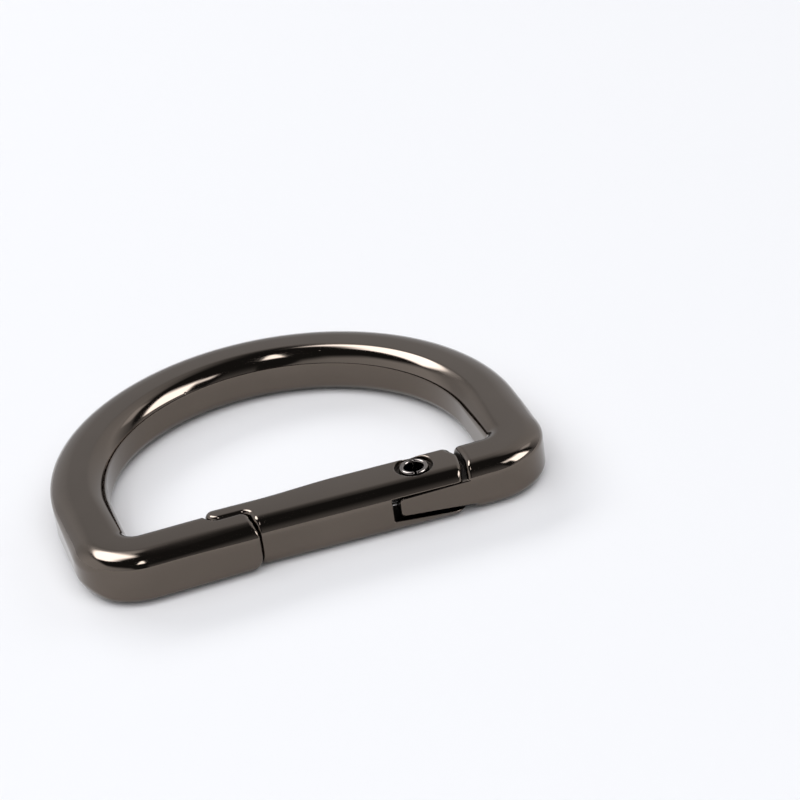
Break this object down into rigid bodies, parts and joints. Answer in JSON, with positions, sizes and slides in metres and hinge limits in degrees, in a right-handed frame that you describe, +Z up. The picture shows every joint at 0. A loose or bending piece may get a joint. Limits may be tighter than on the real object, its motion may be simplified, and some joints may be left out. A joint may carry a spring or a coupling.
{
  "type": "spring snap hook",
  "caption": "Flat D-shaped spring snap hook: a cast ring whose straight side is a sprung gate that swings inward on a hinge pin.",
  "frame": {"origin": "on the surface that the hook lies on, under the middle of its bounding box", "axes": "+X along the gate from the nose to the hinge, +Y from the gate to the arc, +Z up through the thickness"},
  "size_m": [0.0326, 0.0257, 0.0036],
  "materials": {
    "gunmetal_plating": "polished gunmetal plating on a zinc casting",
    "pin_steel": "plated steel roll pin",
    "spring_steel": "bright drawn wire"
  },
  "bodies": {
    "frame": {"frame": "gunmetal_plating", "gate_spring": "spring_steel"},
    "gate": {"gate": "gunmetal_plating", "hinge_pin": "pin_steel"}
  },
  "joints": [
    {"name": "gate_hinge", "type": "hinge", "parent": "frame", "child": "gate", "pos_m": [0.0067, -0.01055, 0.0018], "axis": [0, 0, -1], "range_deg": [0, 50], "stiffness_Nm_per_rad": 0.004, "springref_deg": -68.75, "deforming": ["gate_spring"]}
  ]
}
